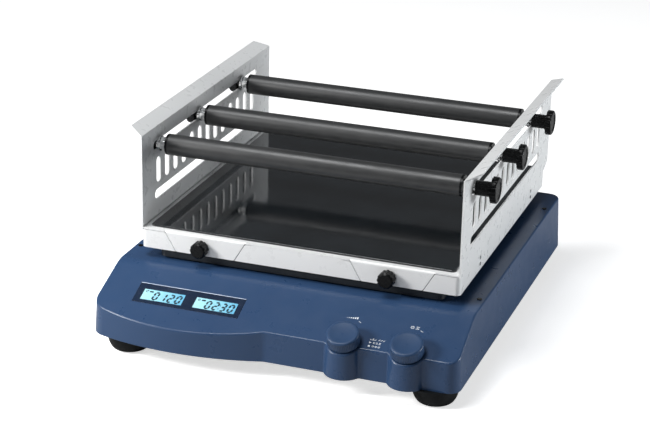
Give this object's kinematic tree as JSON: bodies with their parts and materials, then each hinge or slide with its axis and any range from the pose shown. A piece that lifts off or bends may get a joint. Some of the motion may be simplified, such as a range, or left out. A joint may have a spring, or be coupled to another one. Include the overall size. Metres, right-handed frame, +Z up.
{
  "type": "orbital shaker",
  "caption": "Benchtop orbital shaker: low base with sloped display panel and push-turn knobs, eccentric drive and a flask tray with slotted side panels and sliding padded bars.",
  "frame": {"origin": "on the floor, centre of the bounding box footprint", "axes": "+Z up, -Y towards the operator (display and knobs), +X to the operator's right"},
  "size_m": [0.3746, 0.4325, 0.206],
  "materials": {
    "housing": "satin blue-grey enamel",
    "steel_zinc": "zinc plated",
    "feet_rubber": "matte",
    "screws": "plain",
    "alu": "machined",
    "bearing": "polished",
    "motor": "satin",
    "belt": "matte",
    "pcb": "satin",
    "psu": "satin",
    "window": "gloss",
    "lcd": "gloss",
    "black_plastic": "satin",
    "knob_blue": "satin",
    "carriage": "satin black",
    "white_sheet": "satin white powder coat",
    "mat": "gloss",
    "sleeve": "satin",
    "rod_steel": "polished"
  },
  "bodies": {
    "base": {"base_housing": "housing", "bottom_pan": "steel_zinc", "rubber_feet": "feet_rubber", "base_screws": "screws", "chassis_plate": "steel_zinc", "chassis_standoffs": "steel_zinc", "main_bearing_housing": "alu", "idler_bearing_blocks": "alu", "lower_bearings": "bearing", "motor_body": "motor", "drive_belt": "belt", "power_supply": "psu", "circuit_boards": "pcb", "display_window": "window", "lcd_modules": "lcd", "encoder_bodies": "black_plastic", "power_inlet": "black_plastic", "switch_frame": "black_plastic", "deck_plugs": "black_plastic"},
    "crank": {"main_crank": "screws", "driven_pulley": "alu", "counterweight": "screws"},
    "motor_rotor": {"motor_shaft": "screws", "motor_pulley": "alu"},
    "platform": {"carriage_plate": "carriage", "platform_bearings": "bearing", "tray_pan": "white_sheet", "tray_aprons": "white_sheet", "side_panel_left": "white_sheet", "side_panel_right": "white_sheet", "panel_screws": "screws", "nonslip_mat": "mat"},
    "fuse_drawer": {"fuse_drawer": "black_plastic"},
    "power_rocker": {"power_rocker": "black_plastic"},
    "speed_plunger": {"speed_plunger": "black_plastic"},
    "speed_knob": {"speed_knob": "knob_blue"},
    "time_plunger": {"time_plunger": "black_plastic"},
    "time_knob": {"time_knob": "knob_blue"},
    "tray_knob_left": {"tray_knob_left": "black_plastic"},
    "tray_knob_right": {"tray_knob_right": "black_plastic"},
    "idler_1": {"idler_crank_1": "screws"},
    "idler_2": {"idler_crank_2": "screws"},
    "idler_3": {"idler_crank_3": "screws"},
    "idler_4": {"idler_crank_4": "screws"},
    "bar_front": {"bar_front_sleeve": "sleeve", "bar_front_rod": "rod_steel", "bar_front_caps": "black_plastic"},
    "bar_knob_front_left": {"bar_knob_front_left": "black_plastic"},
    "bar_knob_front_right": {"bar_knob_front_right": "black_plastic"},
    "bar_middle": {"bar_middle_sleeve": "sleeve", "bar_middle_rod": "rod_steel", "bar_middle_caps": "black_plastic"},
    "bar_knob_middle_left": {"bar_knob_middle_left": "black_plastic"},
    "bar_knob_middle_right": {"bar_knob_middle_right": "black_plastic"},
    "bar_rear": {"bar_rear_sleeve": "sleeve", "bar_rear_rod": "rod_steel", "bar_rear_caps": "black_plastic"},
    "bar_knob_rear_left": {"bar_knob_rear_left": "black_plastic"},
    "bar_knob_rear_right": {"bar_knob_rear_right": "black_plastic"}
  },
  "joints": [
    {"name": "crank_spin", "type": "hinge", "parent": "base", "child": "crank", "pos_m": [0, 0.03275, 0.06], "axis": [0, 0, 1], "continuous": true},
    {"name": "motor_spin", "type": "hinge", "parent": "base", "child": "motor_rotor", "pos_m": [-0.104, 0.03275, 0.05], "axis": [0, 0, 1], "continuous": true},
    {"name": "platform_orbit", "type": "hinge", "parent": "crank", "child": "platform", "pos_m": [0, 0.03775, 0.085], "axis": [0, 0, 1], "continuous": true},
    {"name": "idler_1_spin", "type": "hinge", "parent": "base", "child": "idler_1", "pos_m": [-0.118, -0.07925, 0.05], "axis": [0, 0, 1], "continuous": true},
    {"name": "idler_2_spin", "type": "hinge", "parent": "base", "child": "idler_2", "pos_m": [0.118, -0.07925, 0.05], "axis": [0, 0, 1], "continuous": true},
    {"name": "idler_3_spin", "type": "hinge", "parent": "base", "child": "idler_3", "pos_m": [-0.118, 0.14475, 0.05], "axis": [0, 0, 1], "continuous": true},
    {"name": "idler_4_spin", "type": "hinge", "parent": "base", "child": "idler_4", "pos_m": [0.118, 0.14475, 0.05], "axis": [0, 0, 1], "continuous": true},
    {"name": "bar_front_slide", "type": "slide", "parent": "platform", "child": "bar_front", "axis": [0, 1, 0], "range_m": [-0.008, 0.025]},
    {"name": "bar_knob_front_left_turn", "type": "hinge", "parent": "bar_front", "child": "bar_knob_front_left", "pos_m": [-0.17, -0.08705, 0.1794], "axis": [1, 0, 0], "range_deg": [-180, 180]},
    {"name": "bar_knob_front_right_turn", "type": "hinge", "parent": "bar_front", "child": "bar_knob_front_right", "pos_m": [0.17, -0.08705, 0.1794], "axis": [1, 0, 0], "range_deg": [-180, 180]},
    {"name": "bar_middle_slide", "type": "slide", "parent": "platform", "child": "bar_middle", "axis": [0, 1, 0], "range_m": [-0.035, 0.035]},
    {"name": "bar_knob_middle_left_turn", "type": "hinge", "parent": "bar_middle", "child": "bar_knob_middle_left", "pos_m": [-0.17, 0.01445, 0.1794], "axis": [1, 0, 0], "range_deg": [-180, 180]},
    {"name": "bar_knob_middle_right_turn", "type": "hinge", "parent": "bar_middle", "child": "bar_knob_middle_right", "pos_m": [0.17, 0.01445, 0.1794], "axis": [1, 0, 0], "range_deg": [-180, 180]},
    {"name": "bar_rear_slide", "type": "slide", "parent": "platform", "child": "bar_rear", "axis": [0, 1, 0], "range_m": [-0.04, 0.035]},
    {"name": "bar_knob_rear_left_turn", "type": "hinge", "parent": "bar_rear", "child": "bar_knob_rear_left", "pos_m": [-0.17, 0.13155, 0.1794], "axis": [1, 0, 0], "range_deg": [-180, 180]},
    {"name": "bar_knob_rear_right_turn", "type": "hinge", "parent": "bar_rear", "child": "bar_knob_rear_right", "pos_m": [0.17, 0.13155, 0.1794], "axis": [1, 0, 0], "range_deg": [-180, 180]},
    {"name": "tray_knob_left_turn", "type": "hinge", "parent": "platform", "child": "tray_knob_left", "pos_m": [-0.1007, -0.12775, 0.0908], "axis": [0, 1, 0], "range_deg": [-180, 180]},
    {"name": "tray_knob_right_turn", "type": "hinge", "parent": "platform", "child": "tray_knob_right", "pos_m": [0.0933, -0.12775, 0.0908], "axis": [0, 1, 0], "range_deg": [-180, 180]},
    {"name": "speed_push", "type": "slide", "parent": "base", "child": "speed_plunger", "axis": [0, 0.3898, -0.9209], "range_m": [0, 0.0008], "stiffness_N_per_m": 2000, "springref_m": -0.001},
    {"name": "speed_turn", "type": "hinge", "parent": "speed_plunger", "child": "speed_knob", "pos_m": [0.073, -0.19656, 0.05336], "axis": [0, -0.3898, 0.9209], "continuous": true},
    {"name": "time_push", "type": "slide", "parent": "base", "child": "time_plunger", "axis": [0, 0.3898, -0.9209], "range_m": [0, 0.0008], "stiffness_N_per_m": 2000, "springref_m": -0.001},
    {"name": "time_turn", "type": "hinge", "parent": "time_plunger", "child": "time_knob", "pos_m": [0.1356, -0.19656, 0.05336], "axis": [0, -0.3898, 0.9209], "continuous": true},
    {"name": "fuse_drawer_slide", "type": "slide", "parent": "base", "child": "fuse_drawer", "axis": [0, 1, 0], "range_m": [0, 0.014]},
    {"name": "power_rocker_tilt", "type": "hinge", "parent": "base", "child": "power_rocker", "pos_m": [-0.06, 0.20875, 0.049], "axis": [1, 0, 0], "range_deg": [0, 16]}
  ],
  "couplings": [
    {"joint": "motor_spin", "follows": "crank_spin", "ratio": 3.0667},
    {"joint": "platform_orbit", "follows": "crank_spin", "ratio": -1},
    {"joint": "idler_1_spin", "follows": "crank_spin", "ratio": 1},
    {"joint": "idler_2_spin", "follows": "crank_spin", "ratio": 1},
    {"joint": "idler_3_spin", "follows": "crank_spin", "ratio": 1},
    {"joint": "idler_4_spin", "follows": "crank_spin", "ratio": 1}
  ]
}
